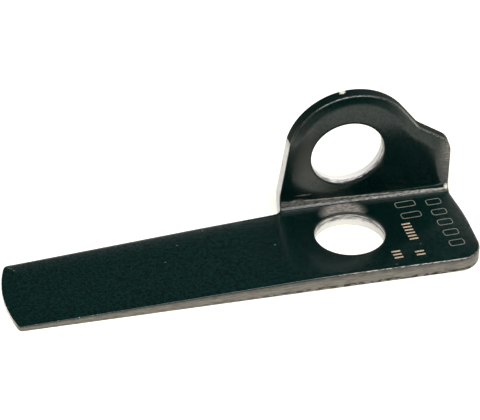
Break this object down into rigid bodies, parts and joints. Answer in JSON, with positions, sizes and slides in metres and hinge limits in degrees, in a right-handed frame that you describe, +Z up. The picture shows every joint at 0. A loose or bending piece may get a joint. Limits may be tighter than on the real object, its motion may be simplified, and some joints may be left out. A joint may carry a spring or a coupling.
{
  "type": "knifeblade piton",
  "caption": "Bent steel plate piton with a tapered knife blade, an eye in the head and a second eye in an upright tab.",
  "frame": {"origin": "centre of the footprint's bounding box, on the plane that the underside lies on", "axes": "+X from the blade's tip to the head, +Y from the front edge to the tab, +Z up, out of the top face of the head"},
  "size_m": [0.1152, 0.032, 0.0352],
  "materials": {
    "lacquered_steel": "gloss green-black lacquer over hardened steel, with bare sheared edges and bare eye walls"
  },
  "bodies": {
    "root": {"piton_body": "lacquered_steel"}
  },
  "joints": []
}
